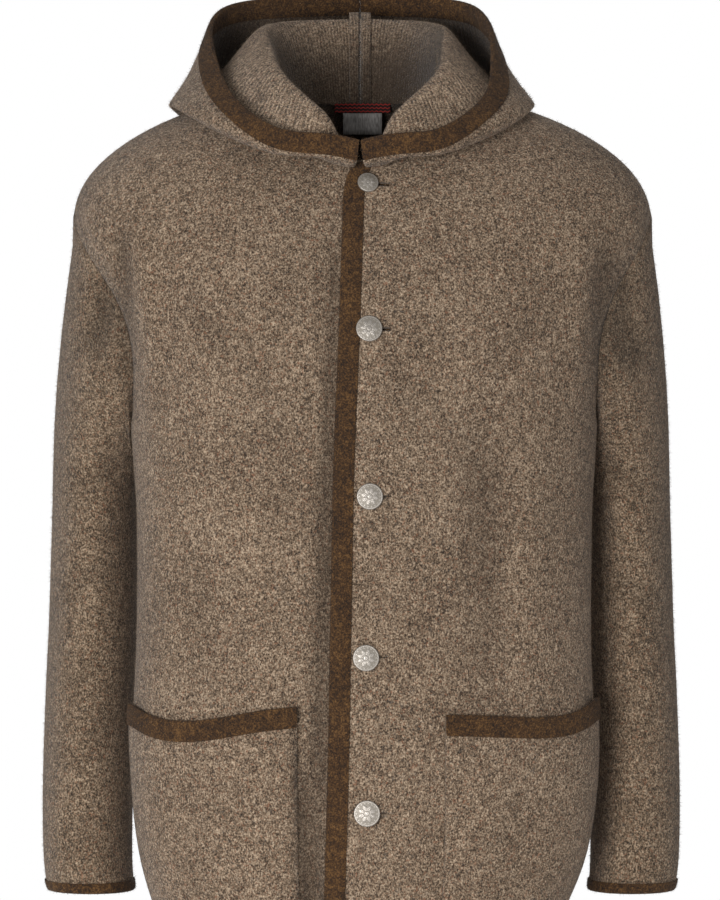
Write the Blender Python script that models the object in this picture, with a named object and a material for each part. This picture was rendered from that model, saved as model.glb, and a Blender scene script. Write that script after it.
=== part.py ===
"""Hooded boiled-wool jacket with brown braid, five coin buttons and two patch pockets.

Metres, +Z up.  The jacket faces -Y and +X is its wearer's left.  The origin lies on the centre
plane between the shoulders that carry it.  The cloth is drawn as one skin of seamed grids; each
grid is then thickened inwards into a wall of its own, with a hairline gap at every seam.
"""
import math

import bmesh
import bpy
import numpy as np
from mathutils import Euler
from mathutils import Matrix
from mathutils import Vector

# ---------------------------------------------------------------- driving dimensions
CLOTH = 0.003            # boiled wool wall
SEAM_GAP = 0.0003        # each piece stands back this far from its seam
LAY_GAP = 0.0005         # between a wall and what lies on it
BRAID = 0.001            # thickness of the wool braid
BRAID_WIDTH = 0.018      # how far the braid laps over each face

HEM_Z = -0.768
UNDERLAP_DROP = 0.0070   # the lower front runs this far inside the upper one
UNDERLAP_FROM_X = -0.085   # where the under front starts to drop, and where it is fully under
UNDERLAP_FULL_X = -0.045
UNDERLAP_EDGE_X = 0.033
NECK_CLEAR = 0.003       # the front braid stops this far below the hood
UNDER_HOOD_X = -0.0055   # the right half of the hood starts here, beside the upper front's edge
ARMHOLE_FRONT = math.radians(26)
ARMHOLE_BACK = math.radians(24)

# Body rings from hem to neck.  left and right are the wearer's half widths.
BODY_COLUMNS = ("z_front", "z_side", "z_back", "left", "right", "y_front", "y_side", "y_back", "square")
BODY = (
    (HEM_Z, HEM_Z, HEM_Z, 0.180, 0.182, -0.130, -0.030, 0.118, 2.3),
    (-0.731, -0.731, -0.731, 0.191, 0.191, -0.135, -0.030, 0.121, 2.3),
    (-0.690, -0.690, -0.690, 0.211, 0.205, -0.140, -0.030, 0.125, 2.3),
    (-0.615, -0.615, -0.615, 0.221, 0.212, -0.145, -0.030, 0.129, 2.3),
    (-0.556, -0.556, -0.556, 0.218, 0.212, -0.147, -0.030, 0.130, 2.3),
    (-0.490, -0.490, -0.490, 0.215, 0.2080, -0.146, -0.030, 0.130, 2.3),
    (-0.405, -0.405, -0.405, 0.216, 0.2075, -0.146, -0.030, 0.130, 2.3),
    (-0.335, -0.335, -0.335, 0.217, 0.2090, -0.147, -0.026, 0.131, 2.3),
    (-0.292, -0.292, -0.287, 0.220, 0.2125, -0.147, -0.014, 0.131, 2.3),
    (-0.250, -0.235, -0.235, 0.230, 0.219, -0.145, -0.008, 0.131, 2.3),
    (-0.210, -0.180, -0.185, 0.246, 0.236, -0.141, -0.004, 0.130, 2.3),
    (-0.172, -0.135, -0.140, 0.264, 0.259, -0.134, 0.000, 0.128, 2.2),
    (-0.146, -0.093, -0.105, 0.276, 0.271, -0.128, 0.000, 0.125, 2.2),
    (-0.131, -0.067, -0.086, 0.268, 0.264, -0.124, 0.000, 0.123, 2.1),
    (-0.116, -0.043, -0.067, 0.251, 0.247, -0.119, 0.000, 0.120, 2.1),
    (-0.098, -0.016, -0.040, 0.215, 0.212, -0.113, 0.000, 0.113, 2.1),
    (-0.078, 0.006, -0.012, 0.165, 0.164, -0.105, 0.000, 0.100, 2.0),
    (-0.060, 0.019, 0.006, 0.118, 0.118, -0.098, 0.000, 0.085, 2.0),
    (-0.046, 0.027, 0.017, 0.082, 0.082, -0.090, 0.000, 0.068, 2.0),
)
UNDERARM_RING = 8
SHOULDER_RING = 12
NECK_RING = len(BODY) - 1
# Where the panels have their rows, in rings: close together up the armhole.
HEM_ROWS = (0.0, 0.49, 1.0, 2.0, 3.0, 3.6, 4.3, 5.0, 6.0, 7.0)
ARMHOLE_ROWS = tuple(UNDERARM_RING + step * 0.5 for step in range(9))
SHOULDER_ROWS = (13.0, 14.0, 15.0, 16.0, 17.0, 18.0)
ROWS = HEM_ROWS + ARMHOLE_ROWS + SHOULDER_ROWS
UNDERARM_ROW = ROWS.index(UNDERARM_RING)
SHOULDER_ROW = ROWS.index(SHOULDER_RING)
FRONT_COLUMNS = 13
POCKET_COLUMN = 4        # the column of a front on which its pocket starts
BACK_HALF_COLUMNS = 9

# The free edge of the upper front, from hem to neck.  Columns: z, x.
FRONT_EDGE = ((HEM_Z, -0.033), (-0.600, -0.028), (-0.330, -0.0235), (-0.200, -0.018),
              (-0.090, -0.0145), (-0.065, -0.0145), (-0.046, -0.003))

FULL_HALF_WIDTH = 0.20    # narrower rings draw the pocket's column in
ARMHOLE_ROUND = 0.7

# Soft folds of the cloth as seen from in front or behind. They fade out towards the sides.
FOLD_NONE = 0.10
FOLD_FULL = 0.45
# Columns: x0, z0, x1, z1 of the fold's ends, height (below zero for a trough), width.
FRONT_FOLDS = (
    (-0.060, -0.560, -0.045, -0.768, -0.0045, 0.013),
    (-0.080, -0.600, -0.070, -0.768, 0.0030, 0.016),
    (-0.195, -0.130, -0.170, -0.260, -0.0040, 0.016),
    (0.205, -0.130, 0.180, -0.270, -0.0040, 0.016),
    (0.075, -0.600, 0.068, -0.768, -0.0030, 0.014),
    (0.120, -0.330, 0.150, -0.540, 0.0030, 0.030),
    (-0.120, -0.330, -0.150, -0.520, 0.0030, 0.030),
    (0.035, -0.110, 0.110, -0.190, 0.0020, 0.020),
)
BACK_FOLDS = (
    (-0.190, -0.140, -0.120, -0.330, -0.0055, 0.020),
    (0.185, -0.150, 0.130, -0.350, -0.0050, 0.020),
    (-0.090, -0.380, -0.110, -0.768, -0.0045, 0.024),
    (0.060, -0.420, 0.085, -0.768, -0.0050, 0.026),
    (0.150, -0.480, 0.150, -0.768, 0.0040, 0.022),
    (-0.020, -0.480, -0.010, -0.768, 0.0040, 0.030),
)

# Sleeve sections below the cap; out is the distance of the centre from the centre plane.
SLEEVE_COLUMNS = ("z", "out", "y", "half_width", "half_depth")
SLEEVE = (
    (-0.360, 0.2525, 0.058, 0.0425, 0.078),
    (-0.450, 0.2545, 0.060, 0.0435, 0.074),
    (-0.540, 0.2575, 0.056, 0.0440, 0.070),
    (-0.630, 0.2600, 0.048, 0.0440, 0.064),
    (-0.700, 0.2595, 0.040, 0.0430, 0.056),
    (-0.727, 0.2560, 0.036, 0.0420, 0.051),
)
SLEEVE_SHIFT = 0.0012    # both sleeves hang this far towards the wearer's left
CAP_ROWS = 6
CAP_SPREAD = 0.10         # how far the cap leans outwards as it leaves the armhole
CAP_SPREAD_UNDER = 0.26
CAP_ROUND = 0.8
CAP_PULL = 0.4
ARM_ROWS = (0.45, 0.9, 1.35, 1.8, 2.25, 2.7, 3.15, 3.6, 4.05, 4.519, 5.0)
SLANT_TURNS = 4
SLEEVE_FOLD_TURN = 0.13
# Columns: turn round the arm, z, slant, height, width.
SLEEVE_FOLDS = (
    (0.30, -0.300, 0.050, -0.0040, 0.016),
    (0.25, -0.455, 0.040, -0.0045, 0.014),
    (0.22, -0.500, -0.030, -0.0035, 0.012),
    (0.70, -0.420, 0.060, -0.0040, 0.018),
    (0.72, -0.560, -0.050, -0.0035, 0.016),
    (0.20, -0.640, 0.030, -0.0030, 0.012),
)

# Hood laid open, in millimetres: for each station round the neck (0 front, 1 centre back), the
# roll above the neck, the lowest fold on the shoulder, the belly outside it and the braided edge.
# Columns: station, lean (draws the wearer's left half in), roll, fold, belly, edge.
MM = 0.001
HOOD = (
    (0.00, 1.00, (12, -95, -45), (7, -100, -53), (3, -112, -49), (1, -114, -30)),
    (0.06, 1.00, (22, -93, -26), (24, -101, -51), (23, -117, -45), (20, -118, -25.5)),
    (0.12, 1.00, (31, -91, -5), (40, -109, -43), (41, -120, -37), (37, -121, -24)),
    (0.27, 0.97, (52, -78, 15), (80, -101, -39), (87, -114, -33), (77, -115, -19)),
    (0.42, 0.98, (78, -47, 43), (133, -58, -12), (150, -72, -2), (118, -76, 14)),
    (0.58, 0.91, (85, 0, 69), (156, -6, 18), (182, -10, 14), (137, -16, 58)),
    (0.74, 0.86, (92, 45, 93), (146, 78, 6), (166, 88, 8), (142, 50, 98)),
    (0.87, 0.87, (66, 83, 103), (96, 150, -80), (118, 178, -5), (110, 110, 122)),
    (1.00, 1.00, (0, 98, 106), (0, 162, -120), (0, 208, -30), (0, 156, 132)),
)
HOOD_ROWS = (0.0, 0.35, 0.7, 1.0, 1.25, 1.5, 1.75, 2.0, 2.3, 2.65, 3.0)   # counted in the curves above
HOOD_LAP_STEP = 0.01
HOOD_LAP_CLEAR = 0.93     # the last of these rows stops short of the braid

# Patch pockets: the panel columns they span and the sag of the mouth along it.
POCKET_CLOTH = 0.0025
POCKET_LIFT = 0.0026     # room for the inner leaf of the mouth braid
POCKET_GAPE = 0.0006
POCKET_BASE_Z = -0.745
POCKET_LEVELS = (POCKET_BASE_Z,) + tuple(BODY[ring][0] for ring in (1, 2, 3))
POCKET_INNER_X = {1: 0.077, -1: -0.057}
# Columns: fraction of the mouth from its inner end, z of the left pocket, z of the right pocket.
MOUTH = ((0.00, -0.553, -0.546), (0.15, -0.554, -0.549), (0.35, -0.557, -0.560), (0.50, -0.558, -0.5615),
         (0.65, -0.554, -0.559), (0.85, -0.546, -0.5495), (1.00, -0.543, -0.549))

# Coin buttons with a shank; the buttonhole runs from the shank away from the edge.
# Columns of BUTTONS: z, x, radius, tip and turn in degrees.
BUTTON_RADIUS = 0.0120
NECK_BUTTON_RADIUS = 0.0096
BUTTON_THICK = 0.0022
BUTTON_STAND = 0.0025    # between the coin and the cloth; the braid runs under its rim
SHANK_RADIUS = 0.0014
BUTTONS = ((-0.068, 0.0075, NECK_BUTTON_RADIUS, 0, 15), (-0.202, 0.0085, BUTTON_RADIUS, 3, -20),
           (-0.354, 0.0092, BUTTON_RADIUS, -2, 40), (-0.500, 0.0056, BUTTON_RADIUS, 3, 5),
           (-0.641, 0.0066, BUTTON_RADIUS, -3, 70))
SLIT_START = -0.0035
SLIT_END = 0.0195
SLIT_HALF_HEIGHT = 0.0019

STRIP_START = 0.0012     # pressed seam allowances inside the hood
STRIP_END = 0.0105
STRIP_THICK = 0.0014
STRIP_GAP = 0.0008
STRIP_ROWS = 6           # up the neck, over the roll and part of the way down the hood

LABEL_X = 0.0024
LABEL_Y = 0.0576
LABEL_Z = (-0.0110, 0.0092)
LABEL_WIDTH = 0.037
LABEL_THICK = 0.0006
LOOP_HALF = 0.0265
LOOP_Y = 0.0591
LOOP_Z = (0.0095, 0.0185)
LOOP_THICK = 0.0010
LOOP_BOW = 0.0025

WOOL = (0.190, 0.145, 0.107)
BROWN = (0.072, 0.040, 0.018)
METAL = (0.48, 0.44, 0.38)
GREY = (0.050, 0.047, 0.043)
RED = (0.120, 0.012, 0.012)


# ---------------------------------------------------------------- tables and the body surface
def along(table, place):
    """A table read between its rows by a smooth curve through them; place counts rows."""
    rows = np.array(table, dtype=float)
    last = len(rows) - 1
    index = min(int(place), last - 1)
    t = place - index
    before = rows[max(index - 1, 0)]
    start = rows[index]
    end = rows[index + 1]
    after = rows[min(index + 2, last)]
    slope_start = (end - before) * 0.5
    slope_end = (after - start) * 0.5
    return (start * (2 * t ** 3 - 3 * t ** 2 + 1) + slope_start * (t ** 3 - 2 * t ** 2 + t)
            + end * (3 * t ** 2 - 2 * t ** 3) + slope_end * (t ** 3 - t ** 2))


def by_key(table, key):
    """A table's values at a key lying in its first column, by straight steps."""
    rows = np.array(table, dtype=float)
    order = np.argsort(rows[:, 0])
    return [np.interp(key, rows[order, 0], rows[order, column]) for column in range(1, rows.shape[1])]


def smooth_step(value, low, high):
    t = min(max((value - low) / (high - low), 0.0), 1.0)
    return t * t * (3 - 2 * t)


def fold_height(folds, x, z):
    """How far the folds lift the cloth at a point seen from in front or behind."""
    total = 0.0
    for x0, z0, x1, z1, height, width in folds:
        run = np.array((x1 - x0, z1 - z0))
        reach = np.array((x - x0, z - z0))
        t = min(max(float(reach @ run) / float(run @ run), 0.0), 1.0)
        apart = np.linalg.norm(reach - run * t)
        fade = math.sin(math.pi * (0.15 + 0.7 * t))
        total += height * fade * math.exp(-(apart / width) ** 2)
    return total


def body_point(ring, angle):
    """The body at a ring and an angle from the centre front, + towards the wearer's left."""
    row = dict(zip(BODY_COLUMNS, along(BODY, ring)))
    across = math.sin(angle)
    ahead = math.cos(angle)
    power = row["square"]
    reach = (abs(across) ** power + abs(ahead) ** power) ** (-1 / power)
    half_width = row["left"] if across > 0 else row["right"]
    x = half_width * reach * across
    end = "front" if ahead > 0 else "back"
    y = row["y_side"] + (row["y_" + end] - row["y_side"]) * reach * abs(ahead)
    z = row["z_side"] + (row["z_" + end] - row["z_side"]) * (reach * ahead) ** 2
    folds = FRONT_FOLDS if end == "front" else BACK_FOLDS
    lift = fold_height(folds, x, z) * smooth_step(abs(ahead), FOLD_NONE, FOLD_FULL)
    return np.array((x, y + (-lift if end == "front" else lift), z))


def angle_at(ring, x):
    """The angle at which a ring's front has a given x."""
    row = dict(zip(BODY_COLUMNS, along(BODY, ring)))
    ratio = x / (row["left"] if x > 0 else row["right"])
    power = row["square"]
    ahead = (1 - abs(ratio) ** power) ** (1 / power)
    return math.atan2(ratio, ahead)


def armhole_angle(ring, widest):
    """How far the armhole cuts into a panel, as an angle short of the side."""
    t = (ring - UNDERARM_RING) / (SHOULDER_RING - UNDERARM_RING)
    if t <= 0 or t >= 1:
        return 0.0
    return widest * math.sin(math.pi * t) ** ARMHOLE_ROUND


def front_panel(side):
    """Grid of a front: a row for each of ROWS, columns from the front edge to the side."""
    grid = []
    for ring in ROWS:
        centre_z = body_point(ring, 0.0)[2]
        narrow = min(1.0, along(BODY, ring)[BODY_COLUMNS.index("left")] / FULL_HALF_WIDTH)
        pocket_x = POCKET_INNER_X[side] * narrow
        if side > 0:
            edge_x = by_key(FRONT_EDGE, centre_z)[0]
            lap_x = edge_x + BRAID_WIDTH
            third = (pocket_x - lap_x) / 3
            places = (edge_x, lap_x, lap_x + third, lap_x + 2 * third, pocket_x)
        else:
            lap_x = UNDERLAP_EDGE_X - BRAID_WIDTH
            places = (UNDERLAP_EDGE_X, lap_x, UNDER_HOOD_X, (UNDER_HOOD_X + pocket_x) / 2, pocket_x)
        lead = [angle_at(ring, x) for x in places]
        side_angle = side * (math.pi / 2 - armhole_angle(ring, ARMHOLE_FRONT))
        rest = np.linspace(lead[-1], side_angle, FRONT_COLUMNS - len(lead) + 1)[1:]
        points = [body_point(ring, angle) for angle in lead + list(rest)]
        if side < 0:
            for point in points:
                point[1] += UNDERLAP_DROP * smooth_step(point[0], UNDERLAP_FROM_X, UNDERLAP_FULL_X)
        grid.append(points)
    return np.array(grid)


def back_panel():
    """Grid of the back, columns from the wearer's left side round to the right."""
    grid = []
    for ring in ROWS:
        side_angle = math.pi / 2 + armhole_angle(ring, ARMHOLE_BACK)
        left = np.linspace(side_angle, math.pi, BACK_HALF_COLUMNS)
        right = np.linspace(-math.pi, -side_angle, BACK_HALF_COLUMNS)[1:]
        grid.append([body_point(ring, angle) for angle in list(left) + list(right)])
    grid = np.array(grid)
    grid[:, BACK_HALF_COLUMNS - 1, 0] = 0.0
    return grid


# ---------------------------------------------------------------- sleeve and hood grids
def armhole_loop(front, back, side):
    """The armhole as a closed loop: from the shoulder down the front, then up the back."""
    back_column = 0 if side > 0 else -1
    down = [front[row, -1] for row in range(SHOULDER_ROW, UNDERARM_ROW, -1)]
    up = [back[row, back_column] for row in range(UNDERARM_ROW, SHOULDER_ROW)]
    return np.array(down + up)


def sleeve_point(place, turn, side):
    """The arm below the cap; turn runs from the outside over the front and back again."""
    row = dict(zip(SLEEVE_COLUMNS, along(SLEEVE, place)))
    angle = 2 * math.pi * turn
    lift = 0.0
    for fold_turn, z, slant, height, width in SLEEVE_FOLDS:
        around = (turn - fold_turn + 0.5) % 1.0 - 0.5
        apart = row["z"] - z - slant * around * SLANT_TURNS
        lift += height * math.exp(-(apart / width) ** 2) * math.exp(-(around / SLEEVE_FOLD_TURN) ** 2)
    out = row["out"] + (row["half_width"] + lift) * math.cos(angle)
    y = row["y"] - (row["half_depth"] + lift) * math.sin(angle)
    return np.array((side * out + SLEEVE_SHIFT, y, row["z"]))


def sleeve_grid(loop, side):
    """Grid of a sleeve, rows from the armhole to the cuff and columns all the way round."""
    count = len(loop)
    grid = []
    for row in range(CAP_ROWS):
        t = row / CAP_ROWS
        points = []
        for column in range(count):
            start = loop[column]
            end = sleeve_point(0.0, column / count, side)
            drop = start[2] - end[2]
            spread = CAP_SPREAD + CAP_SPREAD_UNDER * math.sin(math.pi * column / count) ** CAP_ROUND
            leave = start + np.array((side * spread, 0.0, -1.0)) * drop * CAP_PULL
            arrive = end + np.array((0.0, 0.0, 1.0)) * drop * CAP_PULL
            points.append(start * (1 - t) ** 3 + leave * 3 * t * (1 - t) ** 2
                          + arrive * 3 * t ** 2 * (1 - t) + end * t ** 3)
        grid.append(points)
    for place in (0.0,) + ARM_ROWS:
        grid.append([sleeve_point(place, column / count, side) for column in range(count)])
    grid = np.array(grid)
    return np.concatenate((grid, grid[:, :1]), axis=1)


def hood_grid(neck, side):
    """Grid of a hood half, columns round the neck and rows from the neck to the braided edge."""
    stations = [row[0] for row in HOOD]
    columns = []
    for index in range(len(neck)):
        t = index / (len(neck) - 1)
        place = float(np.interp(t, stations, range(len(stations))))
        lean, *controls = along([(row[1],) + sum(row[2:], ()) for row in HOOD], place)
        controls = np.array(controls).reshape(-1, 3) * MM
        controls[:, 0] *= side * (lean if side > 0 else 1.0)
        if t == 1.0:
            controls[:, 0] = 0.0
        curve = [neck[index]] + list(controls)
        last = len(curve) - 1
        lap = last
        while np.linalg.norm(along(curve, lap) - along(curve, last)) < BRAID_WIDTH:
            lap -= HOOD_LAP_STEP
        squeeze = min(1.0, lap / HOOD_ROWS[-1] * HOOD_LAP_CLEAR)
        marks = [mark * squeeze for mark in HOOD_ROWS] + [lap, last]
        columns.append([along(curve, mark) for mark in marks])
    return np.array(columns).transpose(1, 0, 2)


# ---------------------------------------------------------------- one skin, then walls
def grid_triangles(rows, columns, flip):
    triangles = []
    for row in range(rows - 1):
        for column in range(columns - 1):
            a = row * columns + column
            b = a + 1
            c = a + columns
            d = c + 1
            triangles += [(a, b, d), (a, d, c)]
    return [tri[::-1] for tri in triangles] if flip else triangles


def skin_normals(grids, flips):
    """Outward normals of every grid, shared where grids meet at a seam."""
    sums = {}
    for name, grid in grids.items():
        points = grid.reshape(-1, 3)
        for tri in grid_triangles(grid.shape[0], grid.shape[1], flips[name]):
            a, b, c = points[list(tri)]
            face = np.cross(b - a, c - a)
            for point in (a, b, c):
                key = tuple(np.round(point, 5))
                sums[key] = sums.get(key, 0.0) + face
    normals = {}
    for name, grid in grids.items():
        points = grid.reshape(-1, 3)
        found = np.array([sums[tuple(np.round(point, 5))] for point in points])
        found /= np.maximum(np.linalg.norm(found, axis=1), 1e-12)[:, None]
        normals[name] = found.reshape(grid.shape)
    return normals


def drawn_back(grid, seams):
    """The grid with the named sides pulled back from their seams."""
    moved = grid.copy()
    for side in seams:
        edge, inner = {"first_row": (0, 1), "last_row": (-1, -2)}.get(side, (None, None))
        if edge is not None:
            step = moved[inner] - moved[edge]
            moved[edge] += step / np.linalg.norm(step, axis=1)[:, None] * SEAM_GAP
            continue
        edge, inner = {"first_column": (0, 1), "last_column": (-1, -2)}[side]
        step = moved[:, inner] - moved[:, edge]
        moved[:, edge] += step / np.linalg.norm(step, axis=1)[:, None] * SEAM_GAP
    return moved


def new_material(name, colour, roughness, metallic=0.0):
    material = bpy.data.materials.new(name)
    material.use_nodes = True
    shader = material.node_tree.nodes["Principled BSDF"]
    shader.inputs["Base Color"].default_value = (*colour, 1.0)
    shader.inputs["Roughness"].default_value = roughness
    shader.inputs["Metallic"].default_value = metallic
    return material


def new_object(name, points, faces, material):
    mesh = bpy.data.meshes.new(name)
    mesh.from_pydata([tuple(map(float, point)) for point in points], [], faces)
    shell = bmesh.new()
    shell.from_mesh(mesh)
    bmesh.ops.recalc_face_normals(shell, faces=shell.faces)
    shell.to_mesh(mesh)
    shell.free()
    mesh.materials.append(material)
    mesh.shade_smooth()
    mesh.set_sharp_from_angle(angle=math.radians(40))
    thing = bpy.data.objects.new(name, mesh)
    bpy.context.scene.collection.objects.link(thing)
    return thing


def wall(name, grid, normals, thickness, material, tube=False):
    """A closed wall: the grid as its outer face, thickened inwards; a tube joins its last
    column to its first."""
    outer = grid[:, :-1] if tube else grid
    inner = outer - (normals[:, :-1] if tube else normals) * thickness
    rows, columns = outer.shape[:2]
    count = rows * columns

    def index(row, column):
        return row * columns + column % columns

    faces = []
    spans = columns if tube else columns - 1
    for row in range(rows - 1):
        for column in range(spans):
            a = index(row, column)
            b = index(row, column + 1)
            c = index(row + 1, column)
            d = index(row + 1, column + 1)
            faces += [(a, b, d), (a, d, c)]
            faces += [(count + d, count + b, count + a), (count + c, count + d, count + a)]
    for column in range(spans):
        for row in (0, rows - 1):
            a = index(row, column)
            b = index(row, column + 1)
            faces += [(b, a, count + a), (b, count + a, count + b)]
    if not tube:
        for row in range(rows - 1):
            for column in (0, columns - 1):
                a = index(row, column)
                c = index(row + 1, column)
                faces += [(a, c, count + c), (a, count + c, count + a)]
    points = np.concatenate((outer.reshape(-1, 3), inner.reshape(-1, 3)))
    return new_object(name, points, faces, material)


def braid(name, edge, lap, edge_normals, lap_normals, thickness, material, lap_first, closed=False):
    """Braid folded over a wall's edge: an outer leaf, the fold and an inner leaf.  edge and lap
    are rows of the wall's outer points, at its edge and where the leaves end.  lap_first is set
    where the wall's grid reaches the lap before the edge, so that both share their diagonals."""
    away = edge - lap
    away /= np.linalg.norm(away, axis=1)[:, None]
    near = LAY_GAP
    far = LAY_GAP + BRAID
    deep = thickness
    section = (
        lap + lap_normals * near,
        lap + lap_normals * far,
        edge + edge_normals * far,
        edge + away * far - edge_normals * (deep * 0.15),
        edge + away * far - edge_normals * (deep * 0.85),
        edge - edge_normals * (deep + far),
        lap - lap_normals * (deep + far),
        lap - lap_normals * (deep + near),
        edge + away * near - edge_normals * (deep + near),
        edge + away * near + edge_normals * near,
    )
    count = len(edge)
    size = len(section)
    points = np.concatenate(section)
    faces = []
    for step in range(count if closed else count - 1):
        here = step
        there = (step + 1) % count
        for corner in range(size):
            after = (corner + 1) % size
            a = corner * count + here
            b = after * count + here
            c = corner * count + there
            d = after * count + there
            towards_edge = corner in (1, 7)
            faces += [(a, b, d), (a, d, c)] if towards_edge == lap_first else [(a, b, c), (b, d, c)]
    if not closed:
        ends = [corner * count for corner in range(size)]
        pairs = ((0, 1, 2, 9), (2, 3, 9), (3, 4, 8, 9), (4, 5, 8), (5, 6, 7, 8))
        for pair in pairs:
            faces.append(tuple(ends[corner] for corner in pair))
            faces.append(tuple(ends[corner] + count - 1 for corner in pair))
    return new_object(name, points, faces, material)


# ---------------------------------------------------------------- pockets, buttons and small pieces
def pulled_in(points, start=0.0, end=0.0):
    """A row of points with its ends drawn in by the given distances."""
    moved = points.copy()
    first = moved[1] - moved[0]
    last = moved[-2] - moved[-1]
    moved[0] += first / np.linalg.norm(first) * start
    moved[-1] += last / np.linalg.norm(last) * end
    return moved


def pocket(name, front, normals, side, cloth, brown):
    """Patch pocket made from the front's own columns, moved out, with a braided sagging mouth."""
    columns = range(POCKET_COLUMN, FRONT_COLUMNS - 1)
    count = len(columns)
    rows = len(POCKET_LEVELS) + 2
    grid = np.zeros((rows, count, 3))
    facing = np.zeros((rows, count, 3))
    for place, column in enumerate(columns):
        u = place / (count - 1)
        heights = front[:UNDERARM_ROW, column, 2]
        mouth_z = by_key(MOUTH, u)[0 if side > 0 else 1]
        levels = POCKET_LEVELS + (mouth_z - BRAID_WIDTH, mouth_z)
        for row, z in enumerate(levels):
            v = (z - POCKET_BASE_Z) / (mouth_z - POCKET_BASE_Z)
            point = [np.interp(z, heights, front[:UNDERARM_ROW, column, axis]) for axis in range(3)]
            normal = [np.interp(z, heights, normals[:UNDERARM_ROW, column, axis]) for axis in range(3)]
            lift = POCKET_LIFT * v ** 4 + POCKET_GAPE * math.sin(math.pi * u) * v ** 2
            out = LAY_GAP + POCKET_CLOTH + lift
            grid[row, place] = np.array(point) + np.array(normal) * out
            facing[row, place] = normal
    wall("pocket_" + name, grid, facing, POCKET_CLOTH, cloth)
    braid("pocket_binding_" + name, grid[-1], grid[-2], facing[-1], facing[-2],
          POCKET_CLOTH, brown, True)


def front_place(x, z):
    """The upper front's surface at an x and z, with its outward normal."""
    def at(x, z):
        low, high = 0.0, float(NECK_RING)
        for _ in range(40):
            middle = (low + high) / 2
            if body_point(middle, angle_at(middle, x))[2] < z:
                low = middle
            else:
                high = middle
        return body_point(low, angle_at(low, x))
    step = 0.004
    across = at(x + step, z) - at(x - step, z)
    up = at(x, z + step) - at(x, z - step)
    normal = np.cross(across, up)
    return at(x, z), normal / np.linalg.norm(normal)


def button(number, x, z, size, tip, turn, material):
    """A stamped coin button with a raised rim and centre, and its shank through the cloth."""
    point, normal = front_place(x, z)
    back = BUTTON_STAND
    face = back + BUTTON_THICK
    profile = (
        (0.0, face + 0.0007), (0.40 * size, face + 0.0005), (0.50 * size, face), (0.78 * size, face),
        (0.88 * size, face + 0.0004), (size, face - 0.0006), (size - 0.0004, back),
        (SHANK_RADIUS, back), (SHANK_RADIUS, LAY_GAP - UNDERLAP_DROP), (0.0, LAY_GAP - UNDERLAP_DROP),
    )
    shell = bmesh.new()
    ring = [shell.verts.new((radius, 0.0, height)) for radius, height in profile]
    edges = [shell.edges.new(pair) for pair in zip(ring[:-1], ring[1:])]
    bmesh.ops.spin(shell, geom=ring + edges, cent=(0, 0, 0), axis=(0, 0, 1), angle=math.tau,
                   steps=20, use_merge=True)
    bmesh.ops.remove_doubles(shell, verts=shell.verts, dist=0.00001)
    bmesh.ops.recalc_face_normals(shell, faces=shell.faces)
    mesh = bpy.data.meshes.new("button_%d" % number)
    shell.to_mesh(mesh)
    shell.free()
    mesh.materials.append(material)
    mesh.shade_smooth()
    mesh.set_sharp_from_angle(angle=math.radians(35))
    thing = bpy.data.objects.new("button_%d" % number, mesh)
    bpy.context.scene.collection.objects.link(thing)
    thing.location = point
    facing = Vector(normal).to_track_quat("Z", "Y").to_matrix()
    seat = Euler((math.radians(tip), 0.0, math.radians(turn))).to_matrix()
    thing.rotation_euler = (facing @ seat).to_euler()
    return point, normal


def buttonholes(front, places):
    """Slits through the upper front, one for each button's shank."""
    shell = bmesh.new()
    for point, normal in places:
        across = Vector((1.0, 0.0, 0.0)) - Vector(normal) * normal[0]
        across.normalize()
        up = Vector(normal).cross(across)
        turn = Matrix((across, up, Vector(normal))).transposed().to_4x4()
        centre = Vector(point) + across * (SLIT_START + SLIT_END) / 2
        size = Matrix.Diagonal((SLIT_END - SLIT_START, 2 * SLIT_HALF_HEIGHT, 6 * CLOTH, 1.0))
        bmesh.ops.create_cube(shell, size=1.0, matrix=Matrix.Translation(centre) @ turn @ size)
    mesh = bpy.data.meshes.new("slits")
    shell.to_mesh(mesh)
    shell.free()
    cutter = bpy.data.objects.new("slits", mesh)
    bpy.context.scene.collection.objects.link(cutter)
    cutter.hide_render = True
    cutter.display_type = "WIRE"
    cut = front.modifiers.new("buttonholes", "BOOLEAN")
    cut.object = cutter
    cut.operation = "DIFFERENCE"
    cut.solver = "EXACT"


def plate(name, rows, thickness, material):
    """A small flat piece that faces the neck, from rows of its front points."""
    grid = np.array(rows)
    facing = np.zeros(grid.shape)
    facing[:, :, 1] = -1.0
    return wall(name, grid, facing, thickness, material)


def seam_strip(name, hood, normals, material):
    """The pressed allowance along the inside of the hood's centre seam."""
    normals = normals[:STRIP_ROWS]
    seam = hood[:STRIP_ROWS, -1] - normals[:, -1] * CLOTH
    beside = hood[:STRIP_ROWS, -2] - normals[:, -2] * CLOTH
    reach = np.linalg.norm(beside - seam, axis=1)[:, None]
    inside = normals[:, -1] * STRIP_GAP
    near = seam + (beside - seam) / reach * STRIP_START - inside
    far = seam + (beside - seam) / reach * STRIP_END - inside
    grid = drawn_back(np.stack((near, far), axis=1), ("first_row", "last_row"))
    facing = np.stack((normals[:, -1], normals[:, -1]), axis=1)
    wall(name, grid, facing, STRIP_THICK, material)


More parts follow.
